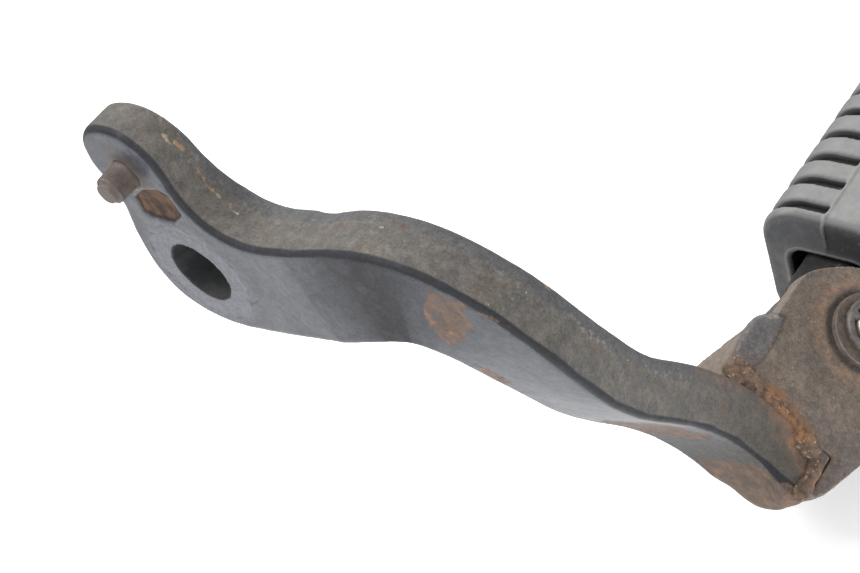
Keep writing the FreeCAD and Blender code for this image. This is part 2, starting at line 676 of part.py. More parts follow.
# ------------------------------------------------------------------ weld beads
# Beads where the clevis stands on the arm: object name, label, and the centre
# (clevis frame) and radius of each lump.
BEADS = [
    ("WeldNear", "weld_bead_near", [
        ((-25.0, 12.6, -1.6), 2.7), ((-19.5, 11.6, -0.9), 2.7), ((-14.0, 11.3, -1.0), 2.5),
        ((-8.6, 9.9, -1.1), 2.6), ((-3.4, 8.6, -1.0), 2.3)]),
    ("WeldTip", "weld_bead_tip", [
        ((0.2, 7.0, -1.4), 1.7), ((0.7, 11.0, -7.0), 2.3), ((0.4, 11.6, -12.5), 2.0)]),
    ("WeldWeb", "weld_bead_web", [
        ((-27.2, 6.6, -6.0), 3.0), ((-27.4, 5.6, -12.0), 3.3), ((-27.2, 5.4, -17.5), 3.0)]),
    ("WeldFar", "weld_bead_far", [
        ((-24.0, 7.0, -21.2), 2.4), ((-16.0, 10.8, -20.6), 2.6), ((-9.0, 11.2, -20.2), 2.4)]),
]
BEAD_END = 1.2          # length of the tapered end beyond the last lump
BEAD_END_SCALE = 0.45   # radius at the end, as a share of the last lump's


def bead_rod(lumps):
    """Rod lofted through rings at the lumps, tapered at both ends."""
    centres = [Vector(*centre) for centre, radius in lumps]
    last = len(centres) - 1
    rings = []
    for i, (centre, (place, radius)) in enumerate(zip(centres, lumps)):
        along = centres[min(i + 1, last)] - centres[max(i - 1, 0)]
        along.normalize()
        if i == 0:
            rings.append((centre - along * BEAD_END, radius * BEAD_END_SCALE, along))
        rings.append((centre, radius, along))
        if i == last:
            rings.append((centre + along * BEAD_END, radius * BEAD_END_SCALE, along))
    wires = [Part.Wire([Part.makeCircle(radius, centre, along)])
             for centre, radius, along in rings]
    rod = Part.makeLoft(wires, True, False)
    rod.transformShape(CLEVIS.toMatrix())
    return rod


def make_beads(arm, clevis):
    """Each bead is trimmed to the arm, the clevis and the beads before it."""
    neighbours = [arm.Shape.copy(), clevis.Shape.copy()]
    beads = []
    for name, label, lumps in BEADS:
        shape = bead_rod(lumps)
        for neighbour in neighbours:
            shape = shape.cut(neighbour)
        solid = max(shape.Solids, key=lambda item: item.Volume)
        bead = doc.addObject("Part::Feature", name)
        bead.Label = label
        bead.Shape = solid
        neighbours.append(solid)
        beads.append(bead)
    return beads


# ------------------------------------------------------------------ build and export
arm = make_arm()
dowel = make_dowel()
clevis = make_clevis(arm)
pieces = [arm, dowel, clevis, make_pin(), make_washer(), make_split_pin(),
          make_core(), make_rubber()]
doc.recompute()
pieces += make_beads(arm, clevis)
doc.recompute()

for item in doc.Objects:
    if "Invalid" in item.State or "Error" in item.State:
        raise RuntimeError("failed object %s %s" % (item.Name, item.State))
for piece in pieces:
    if piece.Shape.isNull() or not piece.Shape.isValid():
        raise RuntimeError("bad shape " + piece.Label)

os.makedirs("parts", exist_ok=True)
for piece in pieces:
    piece.Shape.exportStep("parts/%s.step" % piece.Label)
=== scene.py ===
import bpy, bmesh, math
import numpy as np
from mathutils import Matrix, Vector


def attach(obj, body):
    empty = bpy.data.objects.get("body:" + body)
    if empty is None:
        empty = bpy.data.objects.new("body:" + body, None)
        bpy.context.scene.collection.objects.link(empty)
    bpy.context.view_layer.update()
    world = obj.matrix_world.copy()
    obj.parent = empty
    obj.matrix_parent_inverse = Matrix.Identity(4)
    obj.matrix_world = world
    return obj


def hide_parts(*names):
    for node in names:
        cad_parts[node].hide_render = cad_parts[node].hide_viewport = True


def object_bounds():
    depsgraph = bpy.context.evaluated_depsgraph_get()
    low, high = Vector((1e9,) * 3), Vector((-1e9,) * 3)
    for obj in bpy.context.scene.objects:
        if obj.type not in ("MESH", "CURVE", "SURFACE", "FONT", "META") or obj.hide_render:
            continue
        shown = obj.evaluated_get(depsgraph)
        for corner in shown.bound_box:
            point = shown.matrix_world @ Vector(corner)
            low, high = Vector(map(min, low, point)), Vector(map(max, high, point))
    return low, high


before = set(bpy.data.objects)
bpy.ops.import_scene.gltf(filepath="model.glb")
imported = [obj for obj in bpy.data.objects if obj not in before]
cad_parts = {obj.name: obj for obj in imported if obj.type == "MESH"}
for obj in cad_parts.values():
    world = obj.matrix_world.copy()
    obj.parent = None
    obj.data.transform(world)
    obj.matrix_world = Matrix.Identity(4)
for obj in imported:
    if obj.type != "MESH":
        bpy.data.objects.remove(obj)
lo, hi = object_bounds()
CAD_BOX = [list(lo), list(hi)]
scene = bpy.context.scene
MM = 0.001

# ---------------------------------------------------------------- numbers shared with the part (mm)
def rot_y(deg):
    a = math.radians(deg)
    return np.array([[math.cos(a), 0, math.sin(a)], [0, 1, 0], [-math.sin(a), 0, math.cos(a)]])

CLV = rot_y(58.5)
P0 = np.array([75.99, 37.46, -89.69])
PIN = np.array([-6.0, 39.35, 0.0])
DEPTH = 34.0
PINW = P0 + CLV @ PIN
PEGR = rot_y(14.0)
PEGO = P0 + CLV @ (PIN + np.array([0, 0, -DEPTH / 2]))
OX, OZ = -5.14, 3.43
CAM = np.array([252.19, -113.91, 132.0])
CR = np.array([0.67598, 0.56014, -0.47885])
CD = np.array([0.07015, -0.69576, -0.71484])
CF = np.array([-0.73358, 0.44962, -0.50962])

STATIONS = [
    ((0.0, 0, 0), (1, 0, 0), (0, 0, -1)), ((30.0, 0, 0), (1, 0, 0), (0, 0, -1)),
    ((42.86, 1.07, 0.40), (0.9967, 0.0695, -0.0414), (-0.0426, 0.0158, -0.9990)),
    ((53.29, 1.97, -1.51), (0.9192, 0.0971, -0.3816), (-0.3835, 0.0003, -0.9235)),
    ((61.78, 3.21, -7.77), (0.6411, 0.1408, -0.7544), (-0.7590, -0.0293, -0.6504)),
    ((66.74, 5.15, -16.98), (0.2833, 0.2275, -0.9317), (-0.9513, -0.0563, -0.3030)),
    ((68.23, 8.08, -27.15), (0.0193, 0.3175, -0.9481), (-0.9960, -0.0767, -0.0460)),
    ((67.70, 11.98, -37.11), (-0.0989, 0.4133, -0.9052), (-0.9939, -0.0848, 0.0698)),
    ((66.43, 17.05, -46.46), (-0.1256, 0.5373, -0.8340), (-0.9897, -0.1265, 0.0675)),
    ((65.17, 23.28, -55.09), (-0.1054, 0.6030, -0.7907), (-0.9882, -0.1524, 0.0155)),
    ((64.25, 29.50, -63.77), (-0.0593, 0.5369, -0.8416), (-0.9910, -0.1331, -0.0151)),
    ((64.23, 34.47, -73.24), (0.0704, 0.3751, -0.9243), (-0.9926, -0.0658, -0.1023)),
    ((66.06, 37.10, -83.38), (0.2787, 0.1522, -0.9482), (-0.9601, 0.0100, -0.2792)),
    ((70.96, 37.80, -94.18), (0.5216, 0.0105, -0.8532), (-0.8532, 0.0, -0.5216)),
]

# ---------------------------------------------------------------- numeric helpers
def _hash_grad(seed):
    rs = np.random.RandomState(seed)
    perm = rs.permutation(256)
    g = rs.normal(size=(256, 3))
    g /= np.linalg.norm(g, axis=1)[:, None]
    return np.concatenate([perm, perm]), g

def noise3(p, seed=1):
    """Gradient noise, about -1 to 1, at points p (n, 3)."""
    perm, g = _hash_grad(seed)
    i = np.floor(p).astype(np.int64)
    f = p - i
    u = f * f * f * (f * (f * 6 - 15) + 10)
    out = np.zeros(len(p))
    for dx in (0, 1):
        for dy in (0, 1):
            for dz in (0, 1):
                h = perm[(perm[(perm[(i[:, 0] + dx) & 255] + i[:, 1] + dy) & 255] + i[:, 2] + dz) & 255]
                gr = g[h]
                d = (gr * (f - np.array([dx, dy, dz]))).sum(1)
                w = (u[:, 0] if dx else 1 - u[:, 0]) * (u[:, 1] if dy else 1 - u[:, 1]) * (u[:, 2] if dz else 1 - u[:, 2])
                out += w * d
    return out * 1.6

def fbm(p, size, octaves=3, seed=1, gain=0.5):
    q = p / size
    out, a, t = 0, 1.0, 0
    for k in range(octaves):
        out = out + a * noise3(q * (2.03 ** k) + 17.3 * k, seed + k)
        t += a
        a *= gain
    return out / t

def sstep(a, b, x):
    t = np.clip((x - a) / (b - a), 0, 1)
    return t * t * (3 - 2 * t)

def poly_sd(x, y, pts):
    """Signed distance to a closed polygon, positive inside."""
    pts = np.array(pts, float)
    best = np.full(len(x), 1e9)
    inside = np.zeros(len(x), bool)
    for k in range(len(pts)):
        a, b = pts[k], pts[(k + 1) % len(pts)]
        ab = b - a
        t = np.clip(((x - a[0]) * ab[0] + (y - a[1]) * ab[1]) / (ab @ ab), 0, 1)
        d = np.hypot(x - a[0] - t * ab[0], y - a[1] - t * ab[1])
        best = np.minimum(best, d)
        c = ((a[1] > y) != (b[1] > y)) & (x < (b[0] - a[0]) * (y - a[1]) / (b[1] - a[1] + 1e-12) + a[0])
        inside ^= c
    return np.where(inside, best, -best)

def seg_d(x, y, pts):
    best = np.full(len(x), 1e9)
    pts = np.array(pts, float)
    for a, b in zip(pts[:-1], pts[1:]):
        ab = b - a
        t = np.clip(((x - a[0]) * ab[0] + (y - a[1]) * ab[1]) / (ab @ ab), 0, 1)
        best = np.minimum(best, np.hypot(x - a[0] - t * ab[0], y - a[1] - t * ab[1]))
    return best

def eye_uv(p):
    """Where points (mm) fall in the front three-quarter view, in view units, and their depth."""
    d = p - CAM
    z = d @ CF
    return 430 + 1600 * (d @ CR) / z, 286.5 + 1600 * (d @ CD) / z, z

# ---------------------------------------------------------------- mesh helpers
def verts(me):
    a = np.empty(len(me.vertices) * 3)
    me.vertices.foreach_get("co", a)
    return a.reshape(-1, 3) / MM

def set_verts(me, v):
    me.vertices.foreach_set("co", (v * MM).ravel())
    me.update()

def normals(me):
    a = np.empty(len(me.vertices) * 3)
    me.vertices.foreach_get("normal", a)
    return a.reshape(-1, 3)

def edges(me):
    a = np.empty(len(me.edges) * 2, np.int32)
    me.edges.foreach_get("vertices", a)
    return a.reshape(-1, 2)

def attr(me, name, val):
    a = me.attributes.get(name) or me.attributes.new(name, "FLOAT", "POINT")
    a.data.foreach_set("value", np.asarray(val, np.float32))

def smooth(v, e, it, lam=0.5, mu=-0.52):
    deg = np.bincount(e.ravel(), minlength=len(v))[:, None].astype(float)
    for k in range(it):
        for f in (lam, mu):
            s = np.zeros_like(v)
            np.add.at(s, e[:, 0], v[e[:, 1]])
            np.add.at(s, e[:, 1], v[e[:, 0]])
            v = v + f * (s / deg - v)
    return v

def smooth_scalar(x, e, it):
    deg = np.bincount(e.ravel(), minlength=len(x)).astype(float)
    for k in range(it):
        s = np.bincount(e[:, 0], x[e[:, 1]], len(x)) + np.bincount(e[:, 1], x[e[:, 0]], len(x))
        x = 0.5 * x + 0.5 * s / deg
    return x

def remeshed(node, name, voxel, lumps=()):
    """A dense even mesh of a CAD node, to be worked on as the visible piece."""
    ob = bpy.data.objects.new(name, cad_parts[node].data.copy())
    scene.collection.objects.link(ob)
    if len(lumps):
        bm = bmesh.new()
        bm.from_mesh(ob.data)
        for c, rad in lumps:
            bmesh.ops.create_icosphere(bm, subdivisions=2, radius=rad * MM, matrix=Matrix.Translation(Vector(c) * MM))
        bm.to_mesh(ob.data)
        bm.free()
    m = ob.modifiers.new("remesh", "REMESH")
    m.mode = "VOXEL"
    m.voxel_size = voxel * MM
    dg = bpy.context.evaluated_depsgraph_get()
    me = bpy.data.meshes.new_from_object(ob.evaluated_get(dg))
    ob.modifiers.clear()
    old = ob.data
    ob.data = me
    bpy.data.meshes.remove(old)
    me.materials.clear()
    me.polygons.foreach_set("use_smooth", np.ones(len(me.polygons), bool))
    me.update()
    return ob

def convexity(v, nr, e, it=3):
    """Positive on outside edges, negative in grooves, about -1 to 1."""
    s = smooth(v, e, it, 0.5, 0.0)
    d = ((v - s) * nr).sum(1)
    return smooth_scalar(d, e, 2)

def own(ob, node, mat):
    ob.data.materials.append(mat)
    body = "peg" if node.startswith("peg") else "bracket"
    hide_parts(node)
    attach(ob, body)

# ---------------------------------------------------------------- material helper
class Mat:
    def __init__(self, name):
        self.m = bpy.data.materials.new(name)
        self.m.use_nodes = True
        self.t = self.m.node_tree
        self.t.nodes.clear()
        self.out = self.t.nodes.new("ShaderNodeOutputMaterial")
        self.b = self.t.nodes.new("ShaderNodeBsdfPrincipled")
        self.t.links.new(self.b.outputs[0], self.out.inputs[0])
        self.pos = self.t.nodes.new("ShaderNodeTexCoord").outputs["Object"]
    def put(self, sock, v):
        if hasattr(v, "is_output"):
            self.t.links.new(v, sock)
        elif isinstance(v, (tuple, list)) and len(v) == 3 and sock.type == "RGBA":
            sock.default_value = (*v, 1)
        else:
            sock.default_value = v
    def node(self, kind, **kw):
        n = self.t.nodes.new(kind)
        for k, v in kw.items():
            setattr(n, k, v)
        return n
    def at(self, name):
        return self.node("ShaderNodeAttribute", attribute_name=name).outputs["Fac"]
    def noise(self, size_mm, detail=4, rough=0.55, dist=0.0, stretch=None, seed=0.0):
        vec = self.pos
        mp = self.node("ShaderNodeMapping")
        s = 1.0 / (size_mm * MM)
        st = stretch or (1, 1, 1)
        mp.inputs["Scale"].default_value = (s * st[0], s * st[1], s * st[2])
        mp.inputs["Location"].default_value = (seed, seed * 1.7, seed * 0.3)
        self.t.links.new(vec, mp.inputs[0])
        n = self.node("ShaderNodeTexNoise")
        self.t.links.new(mp.outputs[0], n.inputs["Vector"])
        n.inputs["Scale"].default_value = 1.0
        n.inputs["Detail"].default_value = detail
        n.inputs["Roughness"].default_value = rough
        n.inputs["Distortion"].default_value = dist
        return n.outputs["Fac"]
    def voro(self, size_mm, feature="F1", seed=0.0, rnd=1.0):
        mp = self.node("ShaderNodeMapping")
        s = 1.0 / (size_mm * MM)
        mp.inputs["Scale"].default_value = (s, s, s)
        mp.inputs["Location"].default_value = (seed, seed, seed)
        self.t.links.new(self.pos, mp.inputs[0])
        n = self.node("ShaderNodeTexVoronoi", feature=feature)
        self.t.links.new(mp.outputs[0], n.inputs["Vector"])
        n.inputs["Scale"].default_value = 1.0
        return n.outputs["Distance"]
    def m2(self, op, a, b=0.0, c=None, clamp=False):
        n = self.node("ShaderNodeMath", operation=op, use_clamp=clamp)
        self.put(n.inputs[0], a)
        self.put(n.inputs[1], b)
        if c is not None:
            self.put(n.inputs[2], c)
        return n.outputs[0]
    def step(self, x, a, b, lo=0.0, hi=1.0):
        n = self.node("ShaderNodeMapRange", interpolation_type="SMOOTHSTEP")
        self.put(n.inputs[0], x)
        n.inputs[1].default_value = a
        n.inputs[2].default_value = b
        n.inputs[3].default_value = lo
        n.inputs[4].default_value = hi
        return n.outputs[0]
    def mix(self, f, a, b, blend="MIX"):
        n = self.node("ShaderNodeMix", data_type="RGBA", blend_type=blend)
        self.put(n.inputs[0], f)
        self.put(n.inputs[6], a)
        self.put(n.inputs[7], b)
        return n.outputs[2]
    def fmix(self, f, a, b):
        n = self.node("ShaderNodeMix", data_type="FLOAT")
        self.put(n.inputs[0], f)
        self.put(n.inputs[2], a)
        self.put(n.inputs[3], b)
        return n.outputs[0]
    def bump(self, h, strength=0.5, dist_mm=0.1, normal=None):
        n = self.node("ShaderNodeBump")
        n.inputs["Strength"].default_value = strength
        n.inputs["Distance"].default_value = dist_mm * MM
        self.t.links.new(h, n.inputs["Height"])
        if normal is not None:
            self.t.links.new(normal, n.inputs["Normal"])
        return n.outputs[0]
    def done(self, color, rough, metal=0.0, normal=None, spec=0.5, coat=0.0):
        self.put(self.b.inputs["Base Color"], color)
        self.put(self.b.inputs["Roughness"], rough)
        self.put(self.b.inputs["Metallic"], metal)
        self.put(self.b.inputs["Specular IOR Level"], spec)
        if coat:
            self.b.inputs["Coat Weight"].default_value = coat
            self.b.inputs["Coat Roughness"].default_value = 0.35
        if normal is not None:
            self.t.links.new(normal, self.b.inputs["Normal"])
        return self.m

def srgb(r, g, b):
    f = lambda c: (c / 255 / 12.92) if c <= 10 else ((c / 255 + 0.055) / 1.055) ** 2.4
    return (f(r), f(g), f(b))

RUST_A = srgb(124, 102, 86)
RUST_B = srgb(98, 82, 72)
RUST_C = srgb(150, 112, 82)
RUST_D = srgb(72, 60, 54)

def rust_colour(m, seed):
    c = m.mix(m.step(m.noise(1.8, 5, 0.65, seed=seed), 0.35, 0.65), RUST_B, RUST_A)
    c = m.mix(m.step(m.noise(3.4, 4, 0.6, seed=seed + 3), 0.55, 0.72), c, RUST_C)
    return m.mix(m.step(m.noise(0.7, 4, 0.7, seed=seed + 5), 0.60, 0.75), c, RUST_D)

def hot(v):
    """Fresh orange rust over the near weld."""
    x, y, _ = eye_uv(v)
    return np.exp(-(seg_d(x, y, [(772, 392), (786, 408), (797, 424), (803, 436)]) / 8.0) ** 2)

# ================================================================ ARM
VOX = 0.38
arm = remeshed("arm", "arm_look", VOX)
me = arm.data
v, e = verts(me), edges(me)
v = smooth(v, e, 12)
# the bottom corner of the far end is forged to a full round
U, W_, Z_ = eye_uv(v)
tipc = v[W_ > W_.max() - 4].mean(0)
tipd = np.linalg.norm(v - tipc, axis=1)
near = tipd < 17
pick = np.flatnonzero(near)
back = np.full(len(v), -1)
back[pick] = np.arange(len(pick))
se = back[e[near[e].all(1)]]
sv = smooth(v[pick], se, 220, 0.5, 0.0)
tw = (1 - sstep(7.0, 13.5, tipd[pick]))[:, None]
v[pick] += tw * (sv - v[pick])
set_verts(me, v)
nr = normals(me)

# place along the arm: distance, across (from the upper edge) and depth from the inboard face
fine_p, fine_w, fine_n, fine_s = [], [], [], []
acc = 0.0
for (a, b) in zip(STATIONS[:-1], STATIONS[1:]):
    pa, pb = np.array(a[0], float), np.array(b[0], float)
    L = np.linalg.norm(pb - pa)
    for t in np.linspace(0, 1, 16, endpoint=False):
        u = (1 - t) * np.array(a[1], float) + t * np.array(b[1], float)
        w = (1 - t) * np.array(a[2], float) + t * np.array(b[2], float)
        u /= np.linalg.norm(u); w -= u * (w @ u); w /= np.linalg.norm(w)
        n_ = np.cross(u, w)
        n_ *= np.sign(n_[1])
        fine_p.append(pa + t * (pb - pa)); fine_w.append(w); fine_n.append(n_); fine_s.append(acc + t * L)
    acc += L
fine_p, fine_w, fine_n, fine_s = map(np.array, (fine_p, fine_w, fine_n, fine_s))
idx = np.empty(len(v), int)
for c0 in range(0, len(v), 20000):
    d = ((v[c0:c0 + 20000, None, :] - fine_p[None]) ** 2).sum(2)
    idx[c0:c0 + 20000] = d.argmin(1)
rel = v - fine_p[idx]
across = (rel * fine_w[idx]).sum(1)
depth = (rel * fine_n[idx]).sum(1)
along = fine_s[idx]
nf = -(nr * fine_n[idx]).sum(1)            # towards the inboard face
nb = -(nr * fine_w[idx]).sum(1)            # towards the upper edge face
plate = v[:, 0] < 30
nf = np.where(plate, -nr[:, 1], nf)
nb = np.where(plate, np.sqrt(np.clip(1 - nr[:, 1] ** 2, 0, 1)), nb)
depth = np.where(plate, v[:, 1], depth)
U, W_, Z_ = eye_uv(v)

front = sstep(0.45, 0.95, nf)
# upper dark line: the rounded corner between inboard face and upper edge face
rim = np.clip(1.35 - np.abs(depth - 0.35) / 0.95, 0, 1) * (nb > -0.2) * sstep(0.12, 0.5, np.where(plate, np.maximum(nb, 0), nb))
rim = smooth_scalar(rim, e, 1)
band = sstep(0.5, 0.9, nb)
CHIP = [(135, 197), (142, 190), (156, 190), (167, 196), (174, 206), (181, 216), (175, 222), (164, 219), (152, 216), (143, 211), (140, 203)]
PATCHES = [
    [(425, 286), (432, 292), (446, 296), (461, 301), (468, 306), (461, 311), (469, 322), (475, 331), (464, 329), (467, 341), (455, 347), (444, 341), (431, 327), (423, 309), (427, 298)],
    [(478, 313), (489, 316), (499, 322), (488, 322)],
    [(474, 363), (489, 369), (502, 377), (514, 386), (500, 383), (484, 373)],
    [(596, 419), (614, 421), (640, 423), (662, 424), (690, 430), (716, 437), (708, 440), (676, 437), (640, 433), (612, 428)],
    [(698, 459), (722, 461), (752, 465), (768, 470), (778, 480), (800, 488), (806, 500), (776, 518), (744, 514), (722, 490), (700, 470)],
    [(719, 397), (723, 398), (729, 419), (724, 424)],
    [(762, 382), (776, 395), (786, 412), (800, 440), (812, 466), (800, 478), (790, 452), (776, 424), (765, 402)],
]
sd_chip = np.where(nf > 0.4, poly_sd(U, W_, CHIP), -40.0) / 5.4
wob = fbm(v, 3.0, 3, 5) * 0.8 + fbm(v, 0.9, 2, 8) * 0.35
sd_rust = np.full(len(v), -9.0)
for q in PATCHES:
    sd_rust = np.maximum(sd_rust, poly_sd(U, W_, q) / 5.4)
toward = (nr * (CAM - v)).sum(1) > 0
sd_rust = np.where(toward, sd_rust, -9.0)
# same kind of patches on the sides that face away
far_blot = fbm(v, 14.0, 4, 31) * 6.0 - 3.0
sd_rust = np.where(toward, sd_rust, far_blot)
rb = np.hypot(v[:, 0], v[:, 2])
inboard = (nf > 0.7) & (v[:, 1] < 1.0)
h = fbm(v, 11.0, 3, 2) * 0.16 + fbm(v, 2.6, 2, 9) * 0.035
h += -0.05 * sstep(-0.5, 0.1, sd_rust + wob * 0.6) + 0.035 * fbm(v, 0.8, 2, 12) * sstep(-0.5, 0.3, sd_rust + wob * 0.6)
h += -0.42 * sstep(-0.25, 0.35, sd_chip + wob * 0.25) + 0.10 * fbm(v, 1.1, 2, 15) * sstep(0, 0.4, sd_chip)
h += 0.10 * sstep(-1.6, -0.5, sd_chip) * (1 - sstep(-0.4, 0.1, sd_chip)) * (nf > 0.4)
h += np.where(inboard, -0.10 * (1 - sstep(11.2, 12.0, rb)) + 0.07 * np.exp(-((rb - 12.4) / 0.5) ** 2) * (0.5 + fbm(v, 5, 2, 40)), 0)
# upset collar round the dowel
rd = np.hypot(v[:, 0] - 1.0, v[:, 2] - 25.2)
h += np.where(inboard, 0.55 * np.exp(-((rd - 3.3) / 0.8) ** 2) * (0.8 + 0.5 * fbm(v, 3, 2, 44)), 0)
# forging flash line along the lower edge face and soft dents on the upper one
h += 0.10 * np.exp(-((depth - 5.2 - 0.5 * fbm(v, 9, 2, 51)) / 0.7) ** 2) * sstep(0.6, 0.95, -nb) * (along > 30)
h += -0.10 * sstep(0.25, 0.6, fbm(v, 4.5, 2, 61)) * band
# weld spatter zone near the clevis foot
foot = np.exp(-(seg_d(U, W_, [(700, 362), (742, 378), (772, 400), (790, 428), (812, 462)]) / 14.0) ** 2) * toward
foot = np.maximum(foot, 0.6 * np.exp(-(seg_d(U, W_, [(812, 455), (818, 466), (806, 494)]) / 9.0) ** 2) * toward)
h += foot * (0.14 * fbm(v, 2.0, 3, 71) + 0.07 * fbm(v, 0.9, 2, 73))
down = sstep(0.2, 0.7, nr @ CD)
h += 1.6 * np.exp(-(np.hypot(U - 781, W_ - 503) / 18.0) ** 2) * down * (Z_ < 330)
h += (0.35 + 0.3 * fbm(v, 1.8, 2, 75)) * np.exp(-(seg_d(U, W_, [(806, 436), (817, 462), (806, 492)]) / 5.0) ** 2) * toward
h *= np.where((rb < 7.3) & (v[:, 1] > 0.4) & (v[:, 1] < 11.6), 0.0, 1.0)
v = v + nr * h[:, None]
set_verts(me, v)
ARM_EYE = (U, W_, toward)
ARM_V = v.copy()
cvx = convexity(v, normals(me), e, 4)
FLECKS = [([(163, 134), (167, 141)], 2.2), ([(175, 142), (183, 149)], 2.6), ([(197, 170), (203, 178)], 1.6), ([(212, 190), (221, 198)], 2.0),
          ([(228, 209), (238, 214)], 1.8), ([(317, 221), (320, 234)], 0.8), ([(459, 244), (470, 251)], 1.4), ([(543, 283), (556, 298)], 1.3),
          ([(578, 309), (590, 316)], 1.3), ([(628, 360), (632, 363)], 1.6)]
fl = np.full(len(v), -9.0)
for pts_, wd in FLECKS:
    fl = np.maximum(fl, wd - seg_d(U, W_, pts_))
fl = fl / 3.0 + 0.9 * fbm(v, 1.0, 3, 301)
trail = seg_d(U, W_, [(163, 136), (183, 152), (203, 176), (222, 200), (238, 214)])
fl = np.maximum(fl, 1.1 * fbm(v, 1.3, 3, 303) + 0.10 - (trail / 9.0) ** 2)
fl = np.where(toward & (nb > 0.3), fl, -3.0)
attr(me, "flk", fl)
lin = 1 - sstep(1.0, 2.4, seg_d(U, W_, [(256, 194), (290, 204), (330, 208), (362, 211), (384, 218), (410, 228)]))
attr(me, "lin", lin * toward * (nb > 0.2))
mk = np.minimum(seg_d(U, W_, [(247, 300), (253, 304), (259, 301)]), seg_d(U, W_, [(150, 234), (175, 232), (205, 246), (232, 262)]) + 0.6)
attr(me, "mark", (1 - sstep(0.2, 1.6, mk + 1.2 * np.abs(fbm(v, 1.5, 2, 307)))) * inboard)
attr(me, "hot", hot(v))
attr(me, "front", front); attr(me, "rim", rim); attr(me, "band", band)
attr(me, "rust", sd_rust + wob * 0.5); attr(me, "chip", sd_chip + wob * 0.2)
attr(me, "cvx", cvx * 10); attr(me, "ringm", (1 - sstep(11.3, 14.5, rb)) * inboard)
attr(me, "ringe", np.exp(-((rb - 12.1) / 0.35) ** 2) * inboard)
attr(me, "along", along); attr(me, "depth", depth); attr(me, "foot", foot)
attr(me, "collar", np.exp(-((rd - 3.4) / 1.5) ** 2) * inboard)
# painted shade across the first bend of the inboard face, with some real dirt
bend_shade_and_dirt = np.exp(-((along - 48) / 11.5) ** 2) * front
attr(me, "bend_shade_and_dirt", bend_shade_and_dirt)
sheen = np.exp(-((along - 112) / 20.0) ** 2) * front
attr(me, "sheen", sheen)
attr(me, "bore", ((rb < 7.25) & (v[:, 1] > 0.5)).astype(float))

m = Mat("arm_paint")
n_big, n_mid, n_fin = m.noise(16, 4, 0.5), m.noise(3.5, 5, 0.6), m.noise(0.55, 4, 0.7)
scr = m.noise(2.2, 6, 0.75, stretch=(0.25, 1.0, 3.0), seed=3)
blue = m.mix(m.step(n_big, 0.35, 0.65), srgb(64, 66, 72), srgb(79, 81, 87))
blue = m.mix(m.step(n_mid, 0.42, 0.7, 0, 0.35), blue, srgb(98, 99, 103))
lit = m.mix(m.m2("MULTIPLY", m.at("ringm"), 0.85), blue, srgb(112, 113, 120))
lit = m.mix(m.m2("MULTIPLY", m.at("ringe"), m.step(m.noise(3.0, 4, 0.6, seed=77), 0.48, 0.6, 0, 0.75)), lit, srgb(58, 56, 56))
lit = m.mix(m.m2("MULTIPLY", m.at("sheen"), 0.75), lit, srgb(108, 110, 114))
# darker inboard face at the first bend: painted shade with some dirt
lit = m.mix(m.m2("MULTIPLY", m.at("bend_shade_and_dirt"), m.step(n_mid, 0.3, 0.6, 0.55, 0.9)), lit, srgb(46, 45, 47))
brown = m.mix(m.step(n_mid, 0.35, 0.65), srgb(88, 86, 83), srgb(104, 99, 93))
brown = m.mix(m.step(scr, 0.50, 0.72, 0, 0.45), brown, srgb(118, 114, 110))
brown = m.mix(m.step(m.noise(7, 5, 0.6, seed=9), 0.5, 0.7, 0, 0.4), brown, srgb(102, 88, 76))
# the outboard corner of the upper face is rubbed to a lighter cooler tone
edge_l = m.m2("ADD", m.at("depth"), m.m2("MULTIPLY", m.m2("SUBTRACT", n_mid, 0.5), 3.2))
cool = m.step(edge_l, 8.0, 8.5)
brown2 = m.mix(m.m2("MULTIPLY", cool, 0.8), brown, srgb(84, 85, 88))
fleck = m.m2("MULTIPLY", m.step(m.noise(0.8, 3, 0.7, seed=21), 0.66, 0.72), m.step(m.noise(8, 3, 0.5, seed=22), 0.5, 0.62))
# painted highlight: a broken light line along the rounded outboard edge of the upper face
line = m.m2("MULTIPLY", m.m2("MULTIPLY", m.step(edge_l, 7.2, 8.2), m.step(edge_l, 9.6, 8.4)), m.step(m.noise(1.2, 3, 0.7, seed=31), 0.5, 0.62))
brown2 = m.mix(m.m2("MULTIPLY", line, m.step(m.noise(12, 3, 0.5, seed=33), 0.45, 0.6, 0.1, 0.5)), brown2, srgb(146, 142, 138))
brown2 = m.mix(m.m2("MULTIPLY", fleck, 0.85), brown2, srgb(186, 172, 138))
brown2 = m.mix(m.step(m.at("flk"), 0.25, 0.45, 0, 0.85), brown2, m.mix(m.step(m.noise(4, 2, 0.5, seed=50), 0.45, 0.6), srgb(160, 146, 118), srgb(150, 118, 92)))
brown2 = m.mix(m.m2("MULTIPLY", m.at("lin"), m.step(n_mid, 0.35, 0.6, 0.15, 0.6)), brown2, srgb(104, 80, 66))
col = m.mix(m.at("front"), brown2, lit)
lowf = m.m2("MULTIPLY", m.step(m.at("along"), 118, 150), m.step(n_big, 0.2, 0.7, 0.4, 0.9))
col = m.mix(lowf, col, srgb(84, 79, 73))
col = m.mix(m.m2("MULTIPLY", m.step(m.at("rim"), 0.25, 0.75), m.step(n_mid, 0.25, 0.45, 0.7, 0.97)), col, srgb(38, 39, 44))
